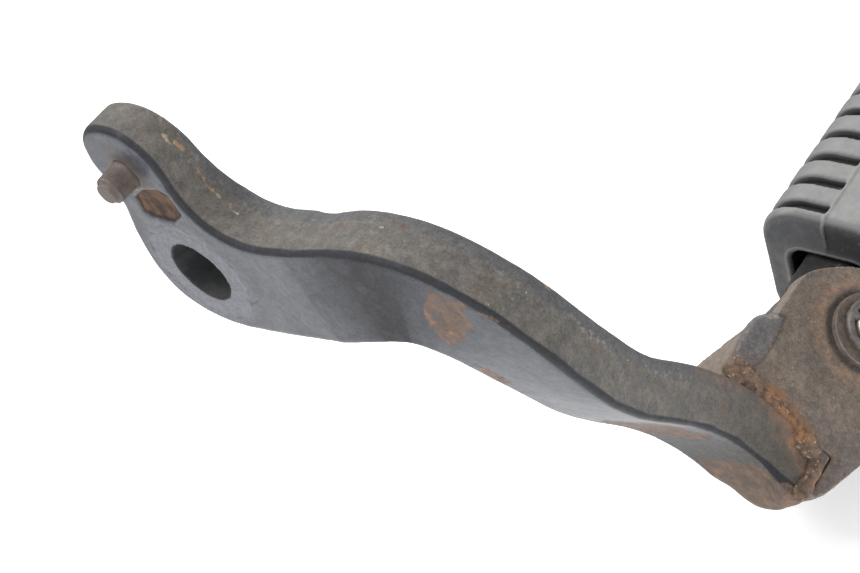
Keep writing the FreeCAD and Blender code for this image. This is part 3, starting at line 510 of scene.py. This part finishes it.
# bare worn points on outer corners
wear = m.step(m.m2("ADD", m.at("cvx"), m.m2("MULTIPLY", m.m2("SUBTRACT", n_mid, 0.5), 0.8)), 0.38, 0.62, 0, 0.45)
col = m.mix(m.m2("MULTIPLY", wear, m.m2("SUBTRACT", 1.0, m.at("rim"))), col, srgb(136, 131, 126))
spk = m.step(m.noise(0.5, 5, 0.75, seed=61), 0.34, 0.66, 0.78, 1.16)
spk2 = m.step(m.noise(1.7, 5, 0.7, seed=63), 0.36, 0.64, 0.84, 1.12)
sx = m.node("ShaderNodeCombineColor")
sv_ = m.m2("MULTIPLY", spk, spk2)
for k in range(3):
    m.t.links.new(sv_, sx.inputs[k])
col = m.mix(1.0, col, sx.outputs[0], "MULTIPLY")
rc = rust_colour(m, 4.0)
rmask = m.step(m.m2("ADD", m.at("rust"), m.m2("MULTIPLY", m.m2("SUBTRACT", m.noise(1.1, 5, 0.7, seed=8), 0.5), 1.8)), -0.10, 0.25)
rmask_soft = m.m2("MULTIPLY", rmask, m.step(m.noise(2.2, 4, 0.65, seed=14), 0.32, 0.6, 0.32, 0.9))
col = m.mix(rmask_soft, col, rc)
pin_r = m.m2("MULTIPLY", m.step(m.noise(0.45, 3, 0.6, seed=41), 0.70, 0.75), m.step(m.noise(9, 3, 0.5, seed=42), 0.48, 0.62))
col = m.mix(m.m2("MULTIPLY", pin_r, 0.7), col, RUST_B)
col = m.mix(m.m2("MULTIPLY", m.at("collar"), m.step(n_mid, 0.3, 0.6, 0.4, 0.9)), col, srgb(84, 72, 63))
col = m.mix(m.m2("MULTIPLY", m.at("foot"), m.step(n_mid, 0.4, 0.6, 0.2, 0.85)), col, rust_colour(m, 11.0))
col = m.mix(m.m2("MULTIPLY", m.at("mark"), 0.7), col, srgb(48, 46, 47))
col = m.mix(m.m2("MULTIPLY", m.at("hot"), m.step(n_mid, 0.36, 0.58, 0.1, 0.75)), col, srgb(146, 102, 68))
cmask = m.step(m.at("chip"), -0.02, 0.12)
col = m.mix(cmask, col, m.mix(m.step(n_mid, 0.35, 0.6), srgb(62, 49, 42), srgb(100, 78, 62)))
# painted shade: a dark rim round the paint chip, where the thick paint edge shades the recess
chip_edge_shade = m.m2("MULTIPLY", m.step(m.at("chip"), -0.16, 0.0), m.step(m.at("chip"), 0.35, 0.1))
col = m.mix(m.m2("MULTIPLY", chip_edge_shade, 0.75), col, srgb(44, 36, 32))
col = m.mix(m.at("bore"), col, m.mix(m.step(n_mid, 0.4, 0.65), srgb(38, 41, 45), srgb(56, 55, 54)))
rough = m.fmix(m.at("front"), 0.70, 0.46)
rough = m.m2("ADD", rough, m.m2("MULTIPLY", m.m2("SUBTRACT", n_mid, 0.5), 0.25))
rough = m.fmix(m.m2("MAXIMUM", rmask_soft, cmask), rough, 0.9)
rough = m.fmix(m.at("ringm"), rough, 0.6)
rough = m.fmix(m.m2("MAXIMUM", lowf, m.m2("MULTIPLY", m.at("bend_shade_and_dirt"), 0.8)), rough, 0.82)
hb = m.m2("ADD", m.m2("MULTIPLY", n_fin, 0.5), m.m2("MULTIPLY", m.noise(0.25, 3, 0.6), m.fmix(rmask, 0.25, 1.3)))
nrm = m.bump(hb, 0.35, 0.10)
nrm = m.bump(scr, 0.12, 0.08, nrm)
own(arm, "arm", m.done(col, rough, 0.0, nrm, 0.32))

# ================================================================ CLEVIS
clv = remeshed("clevis_bracket", "clevis_look", 0.36)
me = clv.data
v, e = verts(me), edges(me)
v = smooth(v, e, 12)
set_verts(me, v)
nr = normals(me)
loc = (v - P0) @ CLV
U, W_, _ = eye_uv(v)
TAB = [(757, 312), (766, 309), (771, 314), (784, 318), (779, 331), (771, 347), (762, 360), (750, 369), (738, 366), (735, 352), (740, 340), (750, 324)]
toward = (nr * (CAM - v)).sum(1) > 0
outer = loc[:, 2] > -1.0
edge_left = sstep(-21.5, -25.5, loc[:, 0]) if False else 1 - sstep(-25.6, -22.6, loc[:, 0])
hole_r = np.hypot(loc[:, 0] - PIN[0], loc[:, 1] - PIN[1])
foot = np.exp(-(seg_d(U, W_, [(712, 360), (742, 378), (772, 398), (792, 424), (816, 462)]) / 15.0) ** 2) * toward
foot = np.maximum(foot, 0.6 * np.exp(-(seg_d(U, W_, [(812, 455), (818, 466), (806, 494)]) / 9.0) ** 2) * toward)
foot = foot * np.where(np.abs(nr @ CLV[:, 0]) > 0.7, 0.3, 1.0)
h = fbm(v, 9.0, 3, 102) * 0.22 + fbm(v, 2.4, 3, 104) * 0.07 + fbm(v, 0.9, 2, 107) * 0.03
h += foot * (0.55 * fbm(v, 3.0, 2, 111) + 0.22 * fbm(v, 1.2, 2, 113) + 0.25)
tab = np.where(toward, poly_sd(U, W_, TAB), -60.0) / 5.4
h += 0.34 * sstep(-0.5, 0.5, tab) * (1 - 0.6 * sstep(0.4, 3.0, tab)) * (loc[:, 2] > -14)
pits = sstep(0.35, 0.6, fbm(v, 1.6, 2, 121))
h += -0.10 * pits
h += np.where(outer & (nr @ CLV[:, 2] > 0.5), -0.25 * (1 - sstep(8.3, 9.6, hole_r)) + 0.10 * np.exp(-((hole_r - 10.0) / 0.8) ** 2), 0)
h *= sstep(4.7, 5.4, hole_r)
v = v + nr * h[:, None]
set_verts(me, v)
cvx = convexity(v, normals(me), e, 4)
attr(me, "cvx", cvx * 10)
attr(me, "foot", foot)
blue_d = np.maximum(edge_left * outer * (loc[:, 1] > 13), 0)
attr(me, "blue", np.clip(blue_d + sstep(-20, -6, loc[:, 0]) * (1 - sstep(14, 22, loc[:, 1])) * 0.6 * (loc[:, 1] > 2), 0, 1))
attr(me, "hot", hot(v))
attr(me, "tab", tab + 0.3 * fbm(v, 1.2, 3, 133))
# web faces, for the painted light below
attr(me, "web", (np.abs(nr @ CLV[:, 0]) > 0.7).astype(float))
attr(me, "washer_ring_shade", np.exp(-((hole_r - 8.6) / 0.9) ** 2) * outer)
attr(me, "halo", np.exp(-((hole_r - 11.0) / 1.6) ** 2) * outer)

m = Mat("clevis_paint")
n_big, n_mid, n_fin = m.noise(12, 5, 0.55), m.noise(2.6, 6, 0.62), m.noise(0.5, 4, 0.7)
base = m.mix(m.step(n_big, 0.35, 0.65), srgb(94, 86, 79), srgb(116, 105, 94))
base = m.mix(m.step(n_mid, 0.4, 0.66, 0, 0.8), base, srgb(104, 92, 82))
base = m.mix(m.step(m.noise(1.3, 5, 0.7, seed=6), 0.56, 0.70, 0, 0.8), base, srgb(90, 82, 77))
base = m.mix(m.m2("MULTIPLY", m.at("blue"), m.step(n_mid, 0.3, 0.6, 0.95, 0.35)), base, srgb(84, 83, 87))
# painted light: the web faces, turned to the light, get a lighter brown
base = m.mix(m.m2("MULTIPLY", m.at("web"), 0.6), base, srgb(122, 109, 98))
tabm = m.step(m.at("tab"), -0.1, 0.5)
base = m.mix(m.m2("MULTIPLY", tabm, m.step(n_mid, 0.3, 0.62, 0.95, 0.5)), base, srgb(88, 89, 94))
# painted shade along the border of the tab, in the crease round it
tab_edge_shade = m.m2("MULTIPLY", m.step(m.at("tab"), -0.7, -0.1), m.step(m.at("tab"), 0.35, 0.0))
base = m.mix(m.m2("MULTIPLY", tab_edge_shade, 0.6), base, srgb(62, 56, 53))
fleck = m.m2("MULTIPLY", m.step(m.noise(0.7, 2, 0.6, seed=12), 0.68, 0.73), m.step(m.noise(6, 3, 0.5, seed=13), 0.4, 0.6))
base = m.mix(m.m2("MULTIPLY", fleck, 0.8), base, srgb(172, 158, 140))
base = m.mix(m.m2("MULTIPLY", m.at("foot"), m.step(n_mid, 0.38, 0.6, 0.3, 0.95)), base, m.mix(m.step(m.noise(2.0, 4, 0.6, seed=17), 0.42, 0.62), srgb(98, 80, 66), srgb(142, 108, 80)))
base = m.mix(m.m2("MULTIPLY", m.at("halo"), m.step(n_mid, 0.35, 0.6, 0.2, 0.7)), base, srgb(140, 112, 92))
# painted shadow: a dark ring in the recess round the washer
base = m.mix(m.m2("MULTIPLY", m.at("washer_ring_shade"), 0.7), base, srgb(66, 62, 60))
# painted shade in creases and hollows
hollow_shade = m.step(m.at("cvx"), -0.15, -0.55, 0, 0.55)
base = m.mix(hollow_shade, base, srgb(70, 60, 54))
worn = m.step(m.m2("ADD", m.at("cvx"), m.m2("MULTIPLY", m.m2("SUBTRACT", n_mid, 0.5), 0.9)), 0.5, 0.8, 0, 0.55)
base = m.mix(worn, base, srgb(146, 136, 126))
hb = m.m2("ADD", n_fin, m.m2("MULTIPLY", n_mid, 0.8))
spk = m.step(m.noise(0.45, 5, 0.75, seed=61), 0.34, 0.66, 0.72, 1.2)
spk2 = m.step(m.noise(1.5, 5, 0.7, seed=63), 0.36, 0.64, 0.8, 1.15)
sx = m.node("ShaderNodeCombineColor")
sv_ = m.m2("MULTIPLY", spk, spk2)
for k in range(3):
    m.t.links.new(sv_, sx.inputs[k])
base = m.mix(1.0, base, sx.outputs[0], "MULTIPLY")
base = m.mix(m.step(m.noise(0.9, 4, 0.65, seed=71), 0.62, 0.68, 0, 0.55), base, srgb(142, 104, 80))
base = m.mix(m.m2("MULTIPLY", m.at("hot"), m.step(n_mid, 0.36, 0.58, 0.1, 0.75)), base, srgb(146, 102, 68))
nrm = m.bump(hb, 0.6, 0.2)
own(clv, "clevis_bracket", m.done(base, m.step(n_mid, 0.3, 0.7, 0.58, 0.85), 0.0, nrm, 0.4))

# ================================================================ WELDS
def weld(node, amp, squash_n, seed):
    ob = remeshed(node, node + "_look", 0.32, LUMPS if node == "weld_bead_near" else ())
    me = ob.data
    v, e = verts(me), edges(me)
    v = smooth(v, e, 4)
    loc = (v - P0) @ CLV
    if squash_n:
        loc[:, 2] = np.where(loc[:, 2] > 0, loc[:, 2] * squash_n, loc[:, 2])
        v = loc @ CLV.T + P0
    set_verts(me, v)
    nr = normals(me)
    ripple = np.sin((loc[:, 0] * 1.0 + loc[:, 2] * 0.6 + 1.5 * fbm(v, 4, 2, seed)) * 3.1)
    h = 0.35 + 0.12 * ripple + amp * (fbm(v, 2.2, 3, seed + 3) + 0.35 * fbm(v, 0.8, 2, seed + 7)) + 0.1
    v = v + nr * h[:, None]
    set_verts(me, v)
    attr(me, "cvx", convexity(v, normals(me), e, 4) * 10)
    attr(me, "hot", hot(v))
    own(ob, node, WELD)

m = Mat("weld_rust")
n_mid = m.noise(1.6, 6, 0.65)
c = m.mix(m.step(n_mid, 0.36, 0.62), srgb(84, 71, 62), srgb(118, 98, 82))
c = m.mix(m.step(m.noise(4.0, 4, 0.6, seed=3), 0.52, 0.7, 0, 0.7), c, srgb(140, 104, 76))
c = m.mix(m.step(m.noise(0.9, 3, 0.6, seed=5), 0.61, 0.67, 0, 0.8), c, srgb(172, 162, 148))
c = m.mix(m.m2("MULTIPLY", m.at("hot"), m.step(n_mid, 0.38, 0.6, 0.15, 0.8)), c, srgb(156, 108, 70))
# painted shade in the hollows of the weld ripples
c = m.mix(m.step(m.at("cvx"), -0.1, -0.6, 0, 0.8), c, srgb(62, 52, 46))
WELD = m.done(c, 0.85, 0.0, m.bump(m.m2("ADD", n_mid, m.noise(0.4, 3, 0.7)), 0.6, 0.2), 0.35)
# the near weld runs on down the end of the arm as a thin spattered line
LUMPS = []
path = [(806, 440), (811, 449), (814, 457), (815, 464), (812, 472), (809, 479), (805, 487), (801, 493)]
for k, (px, py) in enumerate(path):
    d2 = np.hypot(ARM_EYE[0] - px, ARM_EYE[1] - py) + np.where(ARM_EYE[2], 0, 1e6)
    LUMPS.append((ARM_V[d2.argmin()], 1.25 + 0.35 * math.sin(2.3 * k)))
fill = []
for (a, ra), (b, rb_) in zip(LUMPS[:-1], LUMPS[1:]):
    for t in (0.25, 0.5, 0.75):
        fill.append(((1 - t) * a + t * b, (1 - t) * ra + t * rb_))
LUMPS += fill
weld("weld_bead_near", 0.45, 0.8, 201)
weld("weld_bead_tip", 0.45, 0, 211)
weld("weld_bead_web", 0.55, 0, 221)
weld("weld_bead_far", 0.55, 0, 231)

# ================================================================ SMALL STEEL
def steel(name, c0, c1, rust, rgh, metal, seed):
    m = Mat(name)
    n1, n2 = m.noise(1.6, 5, 0.6, seed=seed), m.noise(0.4, 4, 0.7, seed=seed + 2)
    c = m.mix(m.step(n1, 0.35, 0.65), c0, c1)
    c = m.mix(m.step(m.noise(2.4, 5, 0.65, seed=seed + 4), 0.5, 0.7, 0, rust), c, RUST_B)
    c = m.mix(m.step(m.at("cvx"), 0.25, 0.7, 0, 0.5), c, srgb(188, 184, 178))
    # painted shade in hollows
    c = m.mix(m.step(m.at("cvx"), -0.15, -0.6, 0, 0.7), c, srgb(48, 44, 42))
    return m.done(c, m.step(n1, 0.3, 0.7, rgh, rgh + 0.22), metal, m.bump(m.m2("ADD", n1, n2), 0.35, 0.1), 0.5)

def small(node, voxel, mat, amp, seed, it=4, extra=None, post=None):
    ob = remeshed(node, node + "_look", voxel)
    me = ob.data
    v, e = verts(me), edges(me)
    v = smooth(v, e, it)
    set_verts(me, v)
    nr = normals(me)
    h = amp * fbm(v, 2.0, 3, seed) + 0.4 * amp * fbm(v, 0.7, 2, seed + 5)
    if extra is not None:
        h = h + extra(v, nr)
    v = v + nr * h[:, None]
    if post is not None:
        v = post(v)
    set_verts(me, v)
    attr(me, "cvx", convexity(v, normals(me), e, 3) * 12)
    own(ob, node, mat)
    return ob

def about_pin(v, reach, fn, z0=-100.0, z1=100.0):
    """Sets the distance of nearby points from the hinge line, so the fit turns freely."""
    loc = (v - P0) @ CLV
    q = loc[:, :2] - PIN[:2]
    rad = np.hypot(q[:, 0], q[:, 1])
    hit = (rad < reach) & (loc[:, 2] > z0) & (loc[:, 2] < z1)
    k = np.where(hit, fn(rad) / np.maximum(rad, 1e-6), 1.0)
    loc[:, :2] = PIN[:2] + q * k[:, None]
    return loc @ CLV.T + P0

def dowel_marks(v, nr):
    a = np.arctan2(v[:, 2] - 25.2, v[:, 0] - 1.0)
    out = -0.10 * sstep(0.3, 0.7, fbm(np.stack([np.cos(a) * 4, v[:, 1] * 0.6, np.sin(a) * 4], 1), 1.5, 2, 77))
    rr = np.hypot(v[:, 0] - 1.0, v[:, 2] - 25.2)
    chamfer = -0.55 * (1 - sstep(-6.1, -4.6, v[:, 1])) * sstep(2.0, 2.8, rr)
    return out + chamfer + 0.22 * np.exp(-((v[:, 1] + 0.5) / 0.7) ** 2)

small("locating_dowel", 0.22, steel("dowel_steel", srgb(72, 66, 62), srgb(98, 86, 80), 0.9, 0.5, 0.1, 2.0), 0.09, 301, 4, dowel_marks)
small("clevis_pin", 0.25, steel("pin_steel", srgb(150, 145, 136), srgb(180, 174, 163), 0.35, 0.34, 0.55, 5.0), 0.06, 311, 3,
      post=lambda v: about_pin(v, 6.0, lambda q: np.minimum(q, 4.42), -33.0, -0.5))
small("pin_washer", 0.22, steel("washer_steel", srgb(84, 78, 73), srgb(112, 98, 86), 0.75, 0.6, 0.15, 8.0), 0.07, 321, 3)
small("split_pin", 0.16, steel("cotter_steel", srgb(82, 78, 76), srgb(110, 104, 98), 0.3, 0.42, 0.3, 11.0), 0.03, 331, 3)

m = Mat("core_paint")
n1 = m.noise(2.4, 5, 0.6)
c = m.mix(m.step(n1, 0.35, 0.65), srgb(32, 32, 33), srgb(46, 44, 43))
c = m.mix(m.step(m.noise(5, 5, 0.6, seed=4), 0.58, 0.72, 0, 0.5), c, srgb(66, 56, 50))
c = m.mix(m.step(m.at("cvx"), 0.3, 0.7, 0, 0.4), c, srgb(84, 80, 77))
CORE = m.done(c, 0.6, 0.0, m.bump(n1, 0.4, 0.15), 0.4)
small("peg_core", 0.42, CORE, 0.10, 341, 4,
      post=lambda v: about_pin(v, 5.6, lambda q: np.maximum(q, 4.85)))

# ================================================================ RUBBER
rub = remeshed("peg_rubber", "rubber_look", 0.40)
me = rub.data
v, e = verts(me), edges(me)
v = smooth(v, e, 4)
set_verts(me, v)
nr = normals(me)
loc = (v - PEGO) @ PEGR
lx, ly, lz = loc[:, 0] - OX, loc[:, 1], loc[:, 2] - OZ
nl = nr @ PEGR
y0 = 17.4
body = (np.abs(lx) > 8.2) | (np.abs(lz) > 9.5) | (ly > 100)
h = fbm(v, 12.0, 2, 402) * 0.12 + fbm(v, 1.2, 2, 405) * 0.02
seam = np.exp(-((lx + 0.25 * fbm(v, 20, 1, 415)) / 0.32) ** 2)
h += 0.26 * seam * (np.abs(lz) > 14) + 0.26 * seam * (nl[:, 1] < -0.8) * (np.abs(lz) > 10.2)
# raised lip round the mouth
qx, qz = np.abs(lx) - (9.4 - 4.0), np.abs(lz) - (8.2 - 4.0)
dm = np.hypot(np.maximum(qx, 0), np.maximum(qz, 0)) + np.minimum(np.maximum(qx, qz), 0) - 4.0
endf = (nl[:, 1] < -0.85) & (ly < y0 + 1.5)
h += np.where(endf, 0.55 * np.exp(-((dm - 1.0) / 0.75) ** 2), 0)
# shallow dish of the end face and blunt rib crowns
h += np.where(endf, -0.25 * np.exp(-((dm - 5.0) / 2.4) ** 2), 0)
rib = np.cos((ly - y0 - 2.8 - 1.3) / 7.68 * 2 * math.pi)
ribside = (lx < -0.2) & (ly > y0 + 1.5)
h += np.where(ribside, -0.10 * np.clip(rib, 0, 1) ** 2 * (np.abs(nl[:, 1]) < 0.5), 0)
cuts = sstep(0.42, 0.62, fbm(v, 3.2, 2, 431))
h += -0.12 * cuts * ribside * (nl[:, 0] < -0.5)
v = v + nr * h[:, None]
set_verts(me, v)
cvx = convexity(v, normals(me), e, 5)
attr(me, "cvx", cvx * 10)
r_in = np.maximum(np.abs(lx) - 16.35, np.abs(lz) - 18.75)
# depth below the outer hull, for dust on top and painted shade in the grooves
rr = 10.0
hx, hz = np.abs(lx) - (16.35 - rr), np.abs(lz) - (18.75 - rr)
dh = np.hypot(np.maximum(hx, 0), np.maximum(hz, 0)) + np.minimum(np.maximum(hx, hz), 0) - rr
attr(me, "deep", -dh)
attr(me, "smoothside", sstep(-0.4, 0.4, lx))
attr(me, "endface", endf.astype(float))
attr(me, "lowside_shade", 1 - sstep(-15.5, -7.0, lx))
attr(me, "inside", (1 - sstep(-0.3, 0.4, dm)) * (np.abs(nl[:, 1]) < 2) * (ly > y0 + 0.6) * (np.maximum(np.abs(lx) - 10, np.abs(lz) - 9) < 0))

m = Mat("peg_rubber_mat")
n_big, n_mid, n_fin = m.noise(18, 3, 0.5), m.noise(2.2, 5, 0.65), m.noise(0.35, 4, 0.7)
c = m.mix(m.step(n_big, 0.35, 0.65), srgb(70, 71, 73), srgb(82, 82, 84))
dust_and_side_shade = m.mix(m.step(n_mid, 0.35, 0.65), srgb(136, 137, 138), srgb(150, 149, 146))
# painted shade: the dust is darker on the low side of the peg
dust_and_side_shade = m.mix(m.m2("MULTIPLY", m.at("lowside_shade"), 0.75), dust_and_side_shade, srgb(84, 85, 87))
top = m.m2("MULTIPLY", m.step(m.at("deep"), 0.9, 0.2), m.m2("SUBTRACT", 1.0, m.at("endface")))
# dust on the rib tops, brightened the more the surface turns away from the eye: a painted grazing sheen
grazing_sheen = m.node("ShaderNodeLayerWeight")
grazing_sheen.inputs["Blend"].default_value = 0.5
grazing_sheen = m.step(grazing_sheen.outputs["Facing"], 0.06, 0.34, 0.35, 1.0)
c = m.mix(m.m2("MULTIPLY", m.m2("MULTIPLY", top, grazing_sheen), m.fmix(m.at("smoothside"), 0.8, 0.9)), c, dust_and_side_shade)
# painted shade on the end face of the smooth half
c = m.mix(m.m2("MULTIPLY", m.m2("MULTIPLY", m.at("smoothside"), m.at("endface")), 0.8), c, srgb(48, 48, 48))
# painted shade deep in the grooves
c = m.mix(m.m2("MULTIPLY", m.step(m.at("deep"), 1.0, 2.2), m.m2("SUBTRACT", 1.0, m.at("endface"))), c, srgb(22, 22, 24))
c = m.mix(m.step(m.at("cvx"), 0.25, 0.7, 0, 0.5), c, srgb(128, 128, 128))
# painted shade inside the mouth of the rubber sleeve
c = m.mix(m.at("inside"), c, srgb(30, 30, 31))
streak = m.step(m.noise(1.4, 5, 0.7, stretch=(1, 0.2, 1), seed=7), 0.58, 0.72, 0, 0.3)
c = m.mix(streak, c, srgb(134, 132, 126))
nrm = m.bump(m.m2("ADD", n_fin, m.m2("MULTIPLY", n_mid, 0.6)), 0.3, 0.12)
own(rub, "peg_rubber", m.done(c, m.step(n_mid, 0.3, 0.7, 0.55, 0.75), 0.0, nrm, 0.4))

# ================================================================ STAGE
low = min(c[2] for c in CAD_BOX)
bpy.ops.mesh.primitive_plane_add(size=6.0, location=(0.05, 0.07, low - 0.0006))
floor = bpy.context.object
floor.name = "floor"
m = Mat("floor_white")
fc = m.mix(m.step(m.noise(60, 3, 0.5), 0.3, 0.7), (0.86, 0.865, 0.875), (0.92, 0.92, 0.925))
m.b.inputs["Emission Color"].default_value = (1, 1, 1, 1)
m.b.inputs["Emission Strength"].default_value = 0.5
floor.data.materials.append(m.done(fc, 0.8, 0.0, None, 0.2))

def area(name, loc, to, size, power, col=(1, 1, 1)):
    l = bpy.data.lights.new(name, "AREA")
    l.shape = "DISK"
    l.size = size
    l.energy = power
    l.color = col
    o = bpy.data.objects.new(name, l)
    o.location = loc
    o.rotation_euler = (Vector(to) - Vector(loc)).to_track_quat("-Z", "Y").to_euler()
    scene.collection.objects.link(o)
    return o

area("key", (-0.15, -0.20, 0.85), (0.04, 0.05, -0.05), 0.6, 8.5, (1.0, 0.99, 0.97))
area("fill", (0.9, -0.55, 0.25), (0.05, 0.05, -0.05), 0.9, 2.6, (0.95, 0.97, 1.0))
area("back", (-0.6, 0.8, 0.5), (0.05, 0.05, -0.05), 0.8, 4.0)

w = bpy.data.worlds.new("studio")
scene.world = w
w.use_nodes = True
wt = w.node_tree
wt.nodes.clear()
wo = wt.nodes.new("ShaderNodeOutputWorld")
bg1 = wt.nodes.new("ShaderNodeBackground")
bg2 = wt.nodes.new("ShaderNodeBackground")
mixs = wt.nodes.new("ShaderNodeMixShader")
lp = wt.nodes.new("ShaderNodeLightPath")
tc = wt.nodes.new("ShaderNodeTexCoord")
sep = wt.nodes.new("ShaderNodeSeparateXYZ")
ramp = wt.nodes.new("ShaderNodeValToRGB")
wt.links.new(tc.outputs["Generated"], sep.inputs[0])
mr = wt.nodes.new("ShaderNodeMapRange")
mr.inputs[1].default_value = -1
mr.inputs[2].default_value = 1
wt.links.new(sep.outputs["Z"], mr.inputs[0])
wt.links.new(mr.outputs[0], ramp.inputs[0])
ramp.color_ramp.elements[0].color = (0.75, 0.77, 0.80, 1)
ramp.color_ramp.elements[1].color = (1.0, 1.0, 1.0, 1)
ramp.color_ramp.elements[0].position = 0.45
wt.links.new(ramp.outputs[0], bg1.inputs[0])
bg1.inputs[1].default_value = 0.62
bg2.inputs[0].default_value = (1, 1, 1, 1)
bg2.inputs[1].default_value = 1.05
wt.links.new(lp.outputs["Is Camera Ray"], mixs.inputs[0])
wt.links.new(bg1.outputs[0], mixs.inputs[1])
wt.links.new(bg2.outputs[0], mixs.inputs[2])
wt.links.new(mixs.outputs[0], wo.inputs[0])

cam = bpy.data.cameras.new("cam")
cam.sensor_width = 36.0
cam.lens = 36.0 * 1600 / 860
cam.clip_start = 0.005
cam.clip_end = 50
co = bpy.data.objects.new("cam", cam)
scene.collection.objects.link(co)
mw = Matrix.Identity(4)
for i in range(3):
    mw[i][0] = CR[i]
    mw[i][1] = -CD[i]
    mw[i][2] = -CF[i]
mw.translation = Vector(CAM * MM)
co.matrix_world = mw
scene.camera = co
scene.view_settings.view_transform = "Standard"
scene.view_settings.look = "None"
scene.view_settings.exposure = 0.0
